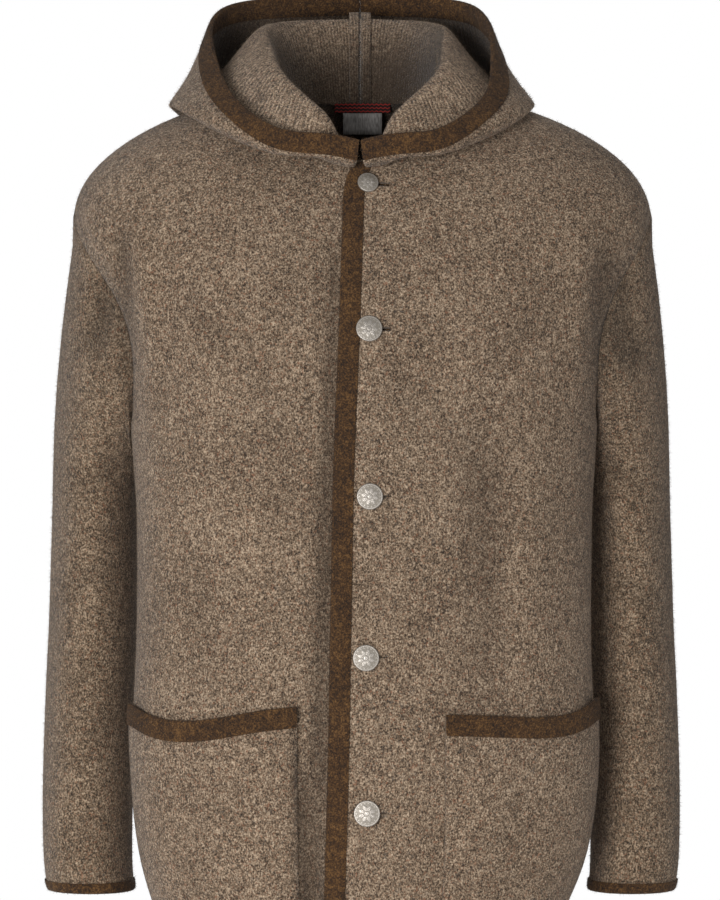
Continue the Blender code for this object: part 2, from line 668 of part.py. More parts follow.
# ---------------------------------------------------------------- the jacket
def build():
    for thing in list(bpy.data.objects):
        bpy.data.objects.remove(thing, do_unlink=True)
    wool = new_material("boiled_wool", WOOL, 0.95)
    brown = new_material("brown_braid", BROWN, 0.90)
    metal = new_material("button_metal", METAL, 0.35, 1.0)
    grey = new_material("label_grey", GREY, 0.70)
    red = new_material("loop_red", RED, 0.80)

    grids = {"front_left": front_panel(1), "front_right": front_panel(-1), "back": back_panel()}
    grids["sleeve_left"] = sleeve_grid(armhole_loop(grids["front_left"], grids["back"], 1), 1)
    grids["sleeve_right"] = sleeve_grid(armhole_loop(grids["front_right"], grids["back"], -1), -1)
    back_neck = grids["back"][-1]
    left_neck = np.concatenate((grids["front_left"][-1, 1:], back_neck[1:BACK_HALF_COLUMNS]))
    right_back = back_neck[::-1][1:BACK_HALF_COLUMNS]
    right_neck = np.concatenate((grids["front_right"][-1, 2:], right_back))
    grids["hood_left"] = hood_grid(left_neck, 1)
    grids["hood_right"] = hood_grid(right_neck, -1)
    flips = {name: name.endswith("_right") for name in grids}
    normals = skin_normals(grids, flips)

    seams = {
        "front_left": ("last_column", "last_row"),
        "front_right": ("last_column", "last_row"),
        "back": ("first_column", "last_column", "last_row"),
        "sleeve_left": ("first_row",),
        "sleeve_right": ("first_row",),
        "hood_left": ("first_row", "last_column"),
        "hood_right": ("first_row", "last_column"),
    }
    made = {}
    for name, grid in grids.items():
        tube = name.startswith("sleeve")
        made[name] = wall(name, drawn_back(grid, seams[name]), normals[name], CLOTH, wool, tube)

    for name in ("left", "right"):
        front = grids["front_" + name]
        facing = normals["front_" + name]
        edge, lap = [pulled_in(front[:, column], 0.0, NECK_CLEAR) for column in (0, 1)]
        braid("front_binding_" + name, edge, lap, facing[:, 0], facing[:, 1], CLOTH, brown, False)
        hem = [pulled_in(row, LAY_GAP, SEAM_GAP) for row in (front[0, 1:], front[1, 1:])]
        braid("hem_binding_" + name, hem[0], hem[1], facing[0, 1:], facing[1, 1:], CLOTH, brown, False)
        sleeve = grids["sleeve_" + name][:, :-1]
        around = normals["sleeve_" + name][:, :-1]
        braid("cuff_binding_" + name, sleeve[-1], sleeve[-2], around[-1], around[-2],
              CLOTH, brown, True, closed=True)
        hood = drawn_back(grids["hood_" + name], ("last_column",))
        over = normals["hood_" + name]
        braid("hood_binding_" + name, hood[-1], hood[-2], over[-1], over[-2], CLOTH, brown, True)
        seam_strip("hood_seam_" + name, grids["hood_" + name], over, wool)
        pocket(name, front, facing, 1 if name == "left" else -1, wool, brown)
    back = grids["back"]
    hem = [pulled_in(row, SEAM_GAP, SEAM_GAP) for row in (back[0], back[1])]
    around = normals["back"]
    braid("hem_binding_back", hem[0], hem[1], around[0], around[1], CLOTH, brown, False)

    places = []
    for number, (z, x, size, tip, turn) in enumerate(BUTTONS, start=1):
        places.append(button(number, x, z, size, tip, turn, metal))
    buttonholes(made["front_left"], places)

    low, high = LABEL_Z
    half = LABEL_WIDTH / 2
    sides = (LABEL_X - half, LABEL_X + half)
    label = [[(x, y, z) for x in sides] for y, z in ((LABEL_Y + 0.002, low), (LABEL_Y, high))]
    plate("neck_label", label, LABEL_THICK, grey)
    strap = []
    for z in LOOP_Z:
        spans = np.linspace(-1.0, 1.0, 9)
        strap.append([(LABEL_X + LOOP_HALF * u, LOOP_Y - LOOP_BOW * (1 - u * u), z) for u in spans])
    plate("hanger_loop", strap, LOOP_THICK, red)


build()
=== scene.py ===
import math
import random

import bmesh
import bpy
import numpy as np
from mathutils import Matrix, Vector, noise


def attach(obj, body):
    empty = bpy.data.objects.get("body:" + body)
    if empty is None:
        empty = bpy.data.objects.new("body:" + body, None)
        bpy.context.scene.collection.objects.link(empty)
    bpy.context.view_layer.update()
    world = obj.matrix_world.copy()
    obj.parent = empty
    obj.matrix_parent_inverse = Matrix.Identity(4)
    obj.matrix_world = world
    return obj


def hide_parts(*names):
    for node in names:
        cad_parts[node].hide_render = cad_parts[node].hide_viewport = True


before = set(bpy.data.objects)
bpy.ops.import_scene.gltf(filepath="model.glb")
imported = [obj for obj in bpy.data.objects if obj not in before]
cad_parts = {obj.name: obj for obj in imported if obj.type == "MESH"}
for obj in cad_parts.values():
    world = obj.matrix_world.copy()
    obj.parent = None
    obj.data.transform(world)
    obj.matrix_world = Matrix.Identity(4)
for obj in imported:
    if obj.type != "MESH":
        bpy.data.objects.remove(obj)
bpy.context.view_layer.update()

# Camera, floor and light. The jacket hangs from its shoulders against white, seen square
# from the front, with one broad soft light a little to the viewer's left.
CAMERA_DISTANCE = 4.0
CAMERA_HEIGHT = -0.312
VIEW_HEIGHT = 0.846
SENSOR = 36.0
FLOOR_Z = -0.80
FLOOR_HALF = 0.60
FLOOR_WHITE = (0.95, 0.95, 0.945)
FLOOR_GREY = (0.88, 0.88, 0.875)
FLOOR_GLOW = 0.18
FLOOR_ROUGHNESS = 0.9
FLOOR_CLOUD = 0.02
ROOM_LIGHT = 0.33
LIGHTS = (
    # name, place, width, watts
    ("key_light", (-1.3, -3.5, -0.50), 1.5, 104.0),
    ("fill_light", (1.5, -3.4, -0.7), 1.6, 14.0),
    ("back_light", (0.4, 3.0, 0.9), 1.8, 40.0),
)
LIGHT_AIM = Vector((0.0, 0.0, -0.35))

scene = bpy.context.scene
scene.view_settings.view_transform = "Standard"

lens = bpy.data.cameras.new("camera")
lens.sensor_width = SENSOR
lens.lens = SENSOR * CAMERA_DISTANCE / VIEW_HEIGHT
camera = bpy.data.objects.new("camera", lens)
camera.location = (0.0, -CAMERA_DISTANCE, CAMERA_HEIGHT)
camera.rotation_euler = (math.pi / 2, 0.0, 0.0)
scene.collection.objects.link(camera)
scene.camera = camera

for name, place, width, watts in LIGHTS:
    lamp = bpy.data.lights.new(name, "AREA")
    lamp.shape = "DISK"
    lamp.size = width
    lamp.energy = watts
    light = bpy.data.objects.new(name, lamp)
    light.location = place
    light.rotation_euler = (LIGHT_AIM - Vector(place)).to_track_quat("-Z", "Y").to_euler()
    scene.collection.objects.link(light)

room = bpy.data.worlds.new("room")
scene.world = room
room.use_nodes = True
sky = room.node_tree
sky.nodes.clear()
seen = sky.nodes.new("ShaderNodeBackground")
seen.inputs["Color"].default_value = (1.0, 1.0, 1.0, 1.0)
seen.inputs["Strength"].default_value = 1.0
lit = sky.nodes.new("ShaderNodeBackground")
lit.inputs["Color"].default_value = (1.0, 1.0, 1.0, 1.0)
lit.inputs["Strength"].default_value = ROOM_LIGHT
rays = sky.nodes.new("ShaderNodeLightPath")
choice = sky.nodes.new("ShaderNodeMixShader")
result = sky.nodes.new("ShaderNodeOutputWorld")
sky.links.new(rays.outputs["Is Camera Ray"], choice.inputs[0])
sky.links.new(lit.outputs[0], choice.inputs[1])
sky.links.new(seen.outputs[0], choice.inputs[2])
sky.links.new(choice.outputs[0], result.inputs[0])


class Tone:
    """A value or colour inside a material. Sums and products of tones add their Math nodes."""

    def __init__(self, socket):
        self.socket = socket

    def node(self, kind, settings=(), inputs=(), output=0):
        """Any other node: its type, its settings, then the values or links of its sockets."""
        tree = self.socket.id_data
        made = tree.nodes.new(kind)
        for name, value in dict(settings).items():
            if name == "stops":
                ramp = made.color_ramp
                for number, (place, shade) in enumerate(value):
                    stop = ramp.elements[number] if number < 2 else ramp.elements.new(place)
                    stop.position = place
                    stop.color = (*shade, 1.0)
            else:
                setattr(made, name, value)
        for name, value in dict(inputs).items():
            if isinstance(value, Tone):
                tree.links.new(value.socket, made.inputs[name])
            else:
                made.inputs[name].default_value = value
        return Tone(made.outputs[output])

    def maths(self, operation, first, second=0.0):
        """A Math node of two values or tones."""
        return self.node("ShaderNodeMath", {"operation": operation}, {0: first, 1: second})

    def __add__(self, other):
        return self.maths("ADD", self, other)

    def __radd__(self, other):
        return self.maths("ADD", other, self)

    def __sub__(self, other):
        return self.maths("SUBTRACT", self, other)

    def __rsub__(self, other):
        return self.maths("SUBTRACT", other, self)

    def __mul__(self, other):
        return self.maths("MULTIPLY", self, other)

    def __rmul__(self, other):
        return self.maths("MULTIPLY", other, self)

    def blend(self, first, second):
        """The colour between first and second, this tone being the share of the second."""
        return self.node(
            "ShaderNodeMix",
            {"data_type": "RGBA"},
            {0: self, 6: first, 7: second},
            2,
        )

    def noise(self, size, detail=2.0, rough=0.5, output="Fac"):
        """Cloudy unevenness of that size in metres, read at this place."""
        made = self.node("ShaderNodeTexNoise", (), {"Vector": self, "Scale": 1.0 / size})
        made.socket.node.inputs["Detail"].default_value = detail
        made.socket.node.inputs["Roughness"].default_value = rough
        return Tone(made.socket.node.outputs[output])

    def ranged(self, start, end):
        """From 0 at start to 1 at end, softly at both."""
        return self.node(
            "ShaderNodeMapRange",
            {"interpolation_type": "SMOOTHSTEP"},
            {"Value": self, "From Min": start, "From Max": end},
        )

    def ramp(self, *stops):
        """The colour at this tone, between stops of a place and a colour each."""
        return self.node("ShaderNodeValToRGB", {"stops": stops}, {"Fac": self})


def new_finish(name, roughness, sheen=0.0, metallic=0.0):
    """A material, its shader node and the tone of the place on the piece."""
    finish = bpy.data.materials.new(name)
    finish.use_nodes = True
    shader = finish.node_tree.nodes["Principled BSDF"]
    shader.inputs["Roughness"].default_value = roughness
    shader.inputs["Metallic"].default_value = metallic
    shader.inputs["Sheen Weight"].default_value = sheen
    where = finish.node_tree.nodes.new("ShaderNodeTexCoord")
    return finish, shader, Tone(where.outputs["Object"])


def feed(shader, socket, tone):
    """Links a tone into one of a shader's sockets."""
    shader.id_data.links.new(tone.socket, shader.inputs[socket])


def bump(place, height, depth, strength):
    """The surface's direction, tilted by a relief that is so many metres deep."""
    return place.node(
        "ShaderNodeBump",
        (),
        {"Height": height, "Distance": depth, "Strength": strength},
        "Normal",
    )


floor_finish, floor_shader, floor_place = new_finish("floor_paint", FLOOR_ROUGHNESS)
feed(
    floor_shader,
    "Base Color",
    floor_place.noise(FLOOR_CLOUD).ramp((0.0, FLOOR_WHITE), (1.0, FLOOR_GREY)),
)
floor_shader.inputs["Emission Color"].default_value = (*FLOOR_WHITE, 1.0)
floor_shader.inputs["Emission Strength"].default_value = FLOOR_GLOW
slab = bmesh.new()
bmesh.ops.create_grid(slab, x_segments=4, y_segments=4, size=FLOOR_HALF)
bmesh.ops.translate(slab, verts=slab.verts, vec=(0.0, 0.0, FLOOR_Z))
floor_mesh = bpy.data.meshes.new("floor")
slab.to_mesh(floor_mesh)
slab.free()
floor_mesh.materials.append(floor_finish)
floor = bpy.data.objects.new("floor", floor_mesh)
scene.collection.objects.link(floor)

# The wool. The jacket is cut from milled (boiled) loden knit, about 3 mm thick, mixed from
# light and dark undyed fleece. Its right side is felted and hairy, and its wrong side still
# shows the columns of the knit. The two fronts and the back are sewn edge to edge.
WOOL_DARK = (0.026, 0.015, 0.008)
WOOL_MIDDLE = (0.190, 0.128, 0.080)
WOOL_LIGHT = (0.600, 0.455, 0.320)
# The sleeves are the same wool, drawn darker as painted shade.
SLEEVE_SHADED_FLEECE = ((0.020, 0.012, 0.006), (0.155, 0.103, 0.062), (0.530, 0.395, 0.270))
WRONG_FLEECE = ((0.034, 0.020, 0.011), (0.270, 0.183, 0.114), (0.800, 0.600, 0.420))
RED_FLEECE = (0.300, 0.130, 0.070)
RED_SHARE = 0.55
GREY_FLEECE = (0.190, 0.168, 0.148)
GREY_SHARE = 0.30
WOOL_ROUGHNESS = 0.94
WOOL_SHEEN = 0.14
WOOL_SHEEN_ROUGHNESS = 0.30
WOOL_RELIEF = 0.0042
WRONG_RELIEF = 0.0072
RELIEF_STRENGTH = 0.9

# How the fleeces mix: sizes in metres, then each layer's share.
FLECK = 0.0017
FLECK_DRIFT = 0.0016
STRAY_FLECK = 1.3
STRAND = 0.55
STRAND_STRETCH = (1.0, 1.0, 0.38)
CLUMP = 0.0060
SHADE_PATCH = 0.060
FLECK_SHARE = 0.51
STRAND_SHARE = 0.28
CLUMP_SHARE = 0.16
PATCH_SHARE = 0.05
RIB_TURNS = 171.0
RIB_SHARE = 0.028

# Painted shade on the cloth: in crease troughs, on the side of the hood's stand that faces the
# neck, and in the pouch between the stand and the hood's outer wall.
# Painted shade in creases: full where a trough sets the cloth in this far, at this share of the dark
# fleece.
CREASE_SHADE_DEPTH = 0.0065
CREASE_PAINTED_SHADE = 0.50
# Painted shade inside the hood's stand, where the wrong side faces the neck: darker lower down and
# towards x above 0.
NECK_MIDDLE = Vector((0.0, 0.010))
NECK_BOTTOM = -0.03
NECK_FACING = (0.10, 0.70)
STAND_HEIGHT = (0.120, 0.045)
STAND_SIDE = (-0.030, 0.060)
STAND_HEIGHT_SHADE = 0.64
STAND_SIDE_SHADE = 0.20
STAND_SHADE = 0.12
# Painted shadow in the pouch between the hood's roll and its outer wall, beyond this distance from the
# upright middle line.
POUCH_RADIUS = (0.123, 0.140)
POUCH_SHADE = 0.80

# How a plain wall is rounded.
SAME_CORNER = 0.00002
SAME_SIDE = math.radians(40)
SQUARE_ENOUGH = math.radians(70)
SHARP_CORNER = math.radians(55)
RIM_WIDTH = 0.0038
CLOTH_ROUNDNESS = 2

# The creases of the front half and the back half, in the same columns.
CREASES_FRONT = (
    # from x, z to x, z, half width, height outwards, bow sideways
    (-0.222, -0.100, -0.214, -0.245, 0.011, -0.0060, 0.003),
    (-0.203, -0.110, -0.197, -0.300, 0.012, 0.0030, 0.003),
    (0.226, -0.110, 0.222, -0.245, 0.011, -0.0060, -0.003),
    (0.207, -0.120, 0.205, -0.300, 0.012, 0.0030, -0.003),
    (-0.190, -0.150, -0.120, -0.235, 0.016, -0.0022, 0.010),
    (0.190, -0.170, 0.120, -0.260, 0.018, -0.0022, -0.010),
    (-0.0215, -0.075, -0.0430, -0.780, 0.0095, -0.0066, 0.001),
    (-0.0565, -0.595, -0.0380, -0.775, 0.0066, -0.0088, 0.001),
    (-0.110, -0.200, -0.070, -0.380, 0.026, -0.0020, 0.010),
    (0.108, -0.300, 0.116, -0.545, 0.028, -0.0045, 0.006),
    (0.160, -0.330, 0.165, -0.530, 0.024, 0.0030, -0.004),
    (0.050, -0.400, 0.056, -0.600, 0.022, 0.0026, 0.004),
    (0.030, -0.230, 0.110, -0.330, 0.024, -0.0022, -0.008),
    (-0.165, -0.380, -0.140, -0.540, 0.024, -0.0022, 0.006),
    (-0.110, -0.440, -0.085, -0.560, 0.020, 0.0020, 0.006),
    (0.068, -0.590, 0.066, -0.750, 0.006, -0.0020, -0.001),
    (-0.160, -0.600, -0.150, -0.740, 0.024, -0.0020, 0.004),
    (0.150, -0.590, 0.140, -0.740, 0.024, -0.0020, -0.004),
    (-0.232, -0.170, -0.270, -0.222, 0.013, -0.0034, 0.006),
    (-0.226, -0.210, -0.264, -0.258, 0.012, 0.0026, 0.006),
    (-0.226, -0.320, -0.268, -0.352, 0.012, -0.0036, 0.004),
    (-0.230, -0.356, -0.270, -0.400, 0.013, 0.0028, 0.004),
    (-0.234, -0.420, -0.276, -0.448, 0.012, -0.0034, -0.004),
    (-0.240, -0.500, -0.280, -0.535, 0.014, -0.0026, 0.005),
    (-0.244, -0.560, -0.276, -0.600, 0.012, 0.0018, 0.004),
    (0.238, -0.180, 0.272, -0.232, 0.013, -0.0034, -0.006),
    (0.232, -0.222, 0.266, -0.268, 0.012, 0.0024, -0.006),
    (0.230, -0.318, 0.272, -0.356, 0.012, -0.0036, -0.004),
    (0.238, -0.365, 0.274, -0.405, 0.013, 0.0028, -0.004),
    (0.236, -0.430, 0.280, -0.462, 0.012, -0.0032, 0.004),
    (0.240, -0.520, 0.280, -0.560, 0.014, -0.0026, -0.005),
    (0.250, -0.640, 0.284, -0.672, 0.011, -0.0018, 0.003),
    (-0.250, -0.650, -0.284, -0.680, 0.011, -0.0018, 0.003),
    (0.242, -0.400, 0.242, -0.760, 0.018, -0.0010, 0.000),
    (-0.238, -0.140, -0.241, -0.255, 0.012, -0.0042, 0.002),
    (0.243, -0.130, 0.246, -0.265, 0.015, -0.0046, -0.002),
)
CREASES_BACK = (
    (-0.205, -0.150, -0.170, -0.270, 0.017, -0.0030, 0.006),
    (-0.180, -0.160, -0.140, -0.300, 0.018, 0.0026, 0.006),
    (0.207, -0.155, 0.168, -0.265, 0.017, -0.0028, -0.006),
    (0.182, -0.150, 0.145, -0.310, 0.018, 0.0026, -0.005),
    (-0.060, -0.280, -0.075, -0.520, 0.026, -0.0020, 0.010),
    (0.050, -0.330, 0.066, -0.590, 0.028, 0.0020, -0.012),
    (-0.140, -0.450, -0.150, -0.700, 0.020, 0.0022, 0.006),
    (0.128, -0.430, 0.140, -0.680, 0.020, -0.0022, -0.006),
    (-0.240, -0.330, -0.272, -0.420, 0.013, 0.0022, 0.004),
    (0.240, -0.340, 0.272, -0.430, 0.013, 0.0022, -0.004),
    (-0.246, -0.520, -0.276, -0.610, 0.014, -0.0020, 0.004),
    (0.244, -0.530, 0.276, -0.600, 0.014, -0.0020, -0.004),
)

# A crease's form. It starts and ends softly past its two points, widens along its length, and
# is left out further than so many half widths to its side.
CREASE_BEYOND = 0.5
CREASE_FAR = 3.0
CREASE_SPREAD = (0.8, 0.5)
CREASE_RISES = (-0.25, 0.30)
CREASE_FADES = (-0.35, 0.35)

# Creases set in below the neck, over cloth that is softly uneven everywhere.
CREASED_BELOW = (0.075, 0.130)
UNEVEN = 0.0007
UNEVEN_SIZE = 0.070
UNEVEN_STRETCH = 0.5

# Where the front half of the jacket turns into its back half.
BODY_MIDDLE_Y = -0.008
SLEEVE_INNER_X = 0.195
SLEEVE_OUTER_X = 0.232
SLEEVE_MIDDLE_Y = ((-0.727, 0.036), (-0.360, 0.058), (-0.093, 0.040))
TURN_DEPTH = 0.030

# The body and the sleeves, drawn together under the arms, on the side where x is above 0 and
# on the other. The levels run from the lower end of the place to its upper end.
UNDERARM_X = {True: 0.2215, False: 0.2140}
UNDERARM_Z = (-0.372, -0.325, -0.290, -0.276)
UNDERARM_REACH = 0.008
UNDERARM_CLOSE = 0.0022

# The top of each sleeve, eased into the line of the shoulder.
SHOULDER_POINT = (
    # z, half height, how far it comes in
    (-0.092, 0.010, 0.0016),
    (-0.120, 0.016, -0.0012),
)
SHOULDER_FROM_X = (0.255, 0.275)

# Seams, drawn shut: the hood's middle seam, then the side and shoulder seams, where the fronts
# take up the gap.
HOOD_SEAM_FROM_Y = 0.055
HOOD_SEAM_WIDTH = 0.0005
HOOD_SEAM_LEFT = 0.1
FRONTS = ("front_left", "front_right", "hem_binding_left", "hem_binding_right")
SEAM_TAKE_UP = 0.0006
SIDE_SEAM_Y = (-0.040, -0.030)
SIDE_SEAM_DEPTH = (0.300, 0.325)
SHOULDER_SEAM_Y = (-0.006, -0.001)
SHOULDER_SEAM_Z = (-0.090, -0.075)

# The three lower buttonholes, whose lips lie together.
SHUT_HOLES = ("button_3", "button_4", "button_5")
SHUT_SHARE = 0.99
SHUT_HEIGHT = 0.0050
SHUT_FROM = (-0.005, -0.003)
SHUT_TO = (-0.024, -0.021)


def ease(value, start, end):
    """From 0 at start to 1 at end, softly at both."""
    share = min(1.0, max(0.0, (value - start) / (end - start)))
    return share * share * (3.0 - 2.0 * share)


def crease_height(creases, x, z):
    """How far the cloth stands out at x and z for these soft ridges and troughs."""
    height = 0.0
    for x0, z0, x1, z1, width, rise, bow in creases:
        along = Vector((x1 - x0, z1 - z0))
        long = along.length
        way = along / long
        there = Vector((x - x0, z - z0))
        share = there.dot(way) / long
        if not -CREASE_BEYOND < share < 1.0 + CREASE_BEYOND:
            continue
        bend = bow * math.sin(math.pi * min(1.0, max(0.0, share)))
        aside = there.x * -way.y + there.y * way.x - bend
        if abs(aside) > CREASE_FAR * width:
            continue
        spread = width * (CREASE_SPREAD[0] + CREASE_SPREAD[1] * share)
        ends = ease(share, *CREASE_RISES) * ease(1.0 - share, *CREASE_FADES)
        height += rise * ends * math.exp(-((aside / spread) ** 2))
    return height


def sleeve_middle(z):
    """The y of a sleeve's middle at a height."""
    (low, y_low), (elbow, y_elbow), (top, y_top) = SLEEVE_MIDDLE_Y
    if z < elbow:
        return y_low + (y_elbow - y_low) * max(0.0, (z - low) / (elbow - low))
    return y_elbow + (y_top - y_elbow) * min(1.0, (z - elbow) / (top - elbow))


def middle_y(x, z):
    """Where the jacket's front half meets its back half."""
    sleeve = ease(abs(x), SLEEVE_INNER_X, SLEEVE_OUTER_X)
    return BODY_MIDDLE_Y + (sleeve_middle(z) - BODY_MIDDLE_Y) * sleeve


def box_of(corners):
    """The lowest and the highest corner of the box around some corners."""
    low = Vector([min(corner.co[axis] for corner in corners) for axis in range(3)])
    high = Vector([max(corner.co[axis] for corner in corners) for axis in range(3)])
    return low, high


def middle_of(node_name):
    """The middle of a solid's box."""
    low, high = box_of(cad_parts[node_name].data.vertices)
    return (low + high) / 2


SHUT_PLACES = [middle_of(name) for name in SHUT_HOLES]


def draped(point):
    """Where a point of the jacket hangs once its creases are in and its gaps are drawn shut."""
    x, y, z = point
    middle = middle_y(x, z)
    below_neck = ease(-z, *CREASED_BELOW)
    front = ease(middle - y, 0.0, TURN_DEPTH)
    behind = ease(y - middle, 0.0, TURN_DEPTH)
    lump = UNEVEN * noise.noise(Vector((x, y * UNEVEN_STRETCH, z)) / UNEVEN_SIZE)
    if y > HOOD_SEAM_FROM_Y and abs(x) < HOOD_SEAM_WIDTH:
        x *= HOOD_SEAM_LEFT
    end, low, high, start = UNDERARM_Z
    beside = abs(x) - UNDERARM_X[x > 0.0]
    near = math.exp(-((beside / UNDERARM_REACH) ** 2))
    near = near * ease(z, end, low) * ease(-z, -start, -high)
    x -= math.copysign(UNDERARM_CLOSE * near, x * beside)
    for level, half, pull in SHOULDER_POINT:
        share = ease(abs(x), *SHOULDER_FROM_X) * math.exp(-(((z - level) / half) ** 2))
        x -= math.copysign(pull * share, x)
    for hole in SHUT_PLACES:
        above = z - hole.z
        along = ease(x - hole.x, *SHUT_FROM) * ease(hole.x - x, *SHUT_TO)
        z -= SHUT_SHARE * above * along * math.exp(-((above / SHUT_HEIGHT) ** 2))
    lift = 0.0
    if front > 0.0:
        lift -= front * (crease_height(CREASES_FRONT, x, z) + lump)
    if behind > 0.0:
        lift += behind * (crease_height(CREASES_BACK, x, z) + lump)
    return Vector((x, y + below_neck * lift, z))


def taken_up(y, z):
    """How far the side and shoulder seams draw a point of a front towards the back."""
    side = ease(y, *SIDE_SEAM_Y) * ease(-z, *SIDE_SEAM_DEPTH)
    shoulder = ease(y, *SHOULDER_SEAM_Y) * ease(z, *SHOULDER_SEAM_Z)
    return SEAM_TAKE_UP * max(side, shoulder)


def between(first, second, share):
    """The colour that share of the way from the first to the second."""
    return [(1.0 - share) * low + share * high for low, high in zip(first, second)]


def wool_finish(name, fleece, relief, ribbed):
    """Loden from its fibres up: flecks of each fleece, felted clumps and slow patches."""
    dark, middle, light = fleece
    finish, shader, place = new_finish(name, WOOL_ROUGHNESS, sheen=WOOL_SHEEN)
    shader.inputs["Sheen Roughness"].default_value = WOOL_SHEEN_ROUGHNESS
    drift = {0: FLECK_DRIFT, 4: place, 5: place.noise(CLUMP, 1.0, 0.5, "Color")}
    flecks = place.node("ShaderNodeMix", {"data_type": "VECTOR"}, drift, 1).noise(FLECK, 3.0, 0.62)
    stretched = place.node("ShaderNodeMapping", (), {"Vector": place, "Scale": STRAND_STRETCH})
    strands = stretched.noise(FLECK * STRAND, 2.0, 0.6)
    clumps = place.noise(CLUMP, 2.0, 0.55)
    patches = place.noise(SHADE_PATCH, 2.0, 0.5)
    mixed = (
        flecks * FLECK_SHARE
        + strands * STRAND_SHARE
        + clumps * CLUMP_SHARE
        + patches * PATCH_SHARE
    )
    if ribbed:
        across = place.node("ShaderNodeSeparateXYZ", (), {0: place}, 0)
        forward, height = (Tone(across.socket.node.outputs[axis]) for axis in (1, 2))
        angle = across.maths("ARCTAN2", across, forward)
        mixed = mixed + angle.maths("SINE", angle * RIB_TURNS) * RIB_SHARE
    colour = mixed.ramp(
        (0.40, dark),
        (0.46, between(dark, middle, 0.50)),
        (0.50, middle),
        (0.55, between(middle, light, 0.38)),
        (0.62, light),
    )
    stray = place.noise(FLECK * STRAY_FLECK, 2.0, 0.6)
    colour = (stray.ranged(0.60, 0.66) * RED_SHARE).blend(colour, (*RED_FLEECE, 1.0))
    colour = (stray.ranged(0.40, 0.34) * GREY_SHARE).blend(colour, (*GREY_FLEECE, 1.0))
    shadow = (*dark, 1.0)
    # Painted shade in the troughs of the creases, darker the deeper the crease sets the cloth in.
    painted_crease_shade = place.node("ShaderNodeAttribute", {"attribute_name": "painted_crease_shade"}, (), "Fac")
    colour = (painted_crease_shade.ranged(0.0, CREASE_SHADE_DEPTH) * CREASE_PAINTED_SHADE).blend(colour, shadow)
    if ribbed:
        # Painted shade on the stand's side that faces the neck, deeper lower down and towards x above
        # 0.
        inside = place.node("ShaderNodeAttribute", {"attribute_name": "faces_neck"}, (), "Fac")
        depth = (
            height.ranged(*STAND_HEIGHT) * STAND_HEIGHT_SHADE
            + across.ranged(*STAND_SIDE) * STAND_SIDE_SHADE
            + STAND_SHADE
        )
        colour = (inside.ranged(*NECK_FACING) * depth).blend(colour, shadow)
        # Painted shadow in the hood's pouch, darker further out from the middle.
        level = place.node("ShaderNodeMapping", (), {"Vector": place, "Scale": (1.0, 1.0, 0.0)})
        out = place.node("ShaderNodeVectorMath", {"operation": "LENGTH"}, {0: level}, "Value")
        colour = (out.ranged(*POUCH_RADIUS) * POUCH_SHADE).blend(colour, shadow)
    feed(shader, "Base Color", colour)
    feed(shader, "Normal", bump(place, mixed, relief, RELIEF_STRENGTH))
    return finish


WOOL_FLEECE = (WOOL_DARK, WOOL_MIDDLE, WOOL_LIGHT)
WOOL_RIGHT = wool_finish("loden_right_side", WOOL_FLEECE, WOOL_RELIEF, False)
WOOL_SLEEVE_SHADED = wool_finish("loden_sleeves_painted_shade", SLEEVE_SHADED_FLEECE, WOOL_RELIEF, False)
WOOL_WRONG = wool_finish("loden_wrong_side", WRONG_FLEECE, WRONG_RELIEF, True)


def is_rim(face):
    """Whether a face is only as wide as the cloth is thick."""
    return face.calc_area() < RIM_WIDTH * max(edge.calc_length() for edge in face.edges)


def wall_of(node_name, bends=False):
    """A merged copy of a piece's wall, in four-sided faces. Its rim is marked to stay crisp, and
    so are all its corners unless the cloth bends there."""
    wall = bmesh.new()
    wall.from_mesh(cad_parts[node_name].data)
    bmesh.ops.remove_doubles(wall, verts=wall.verts, dist=SAME_CORNER)
    bmesh.ops.join_triangles(
        wall,
        faces=wall.faces,
        angle_face_threshold=SAME_SIDE,
        angle_shape_threshold=SQUARE_ENOUGH,
    )
    crisp = wall.edges.layers.float.new("crease_edge")
    for edge in wall.edges:
        if edge.is_manifold and edge.calc_face_angle() > SHARP_CORNER:
            if not bends or any(is_rim(face) for face in edge.link_faces):
                edge[crisp] = 1.0
    return wall, crisp


def sides_of(wall, crisp):
    """The wall's faces in groups that no crisp edge divides, the largest groups first."""
    groups = []
    left = set(wall.faces)
    while left:
        waiting = [left.pop()]
        group = []
        while waiting:
            face = waiting.pop()
            group.append(face)
            for edge in face.edges:
                if edge[crisp] > 0.5:
                    continue
                for other in edge.link_faces:
                    if other in left:
                        left.remove(other)
                        waiting.append(other)
        groups.append(group)
    return sorted(groups, key=lambda group: -sum(face.calc_area() for face in group))


def reach(group):
    """The diagonal of a group of faces."""
    low, high = box_of([corner for face in group for corner in face.verts])
    return (high - low).length


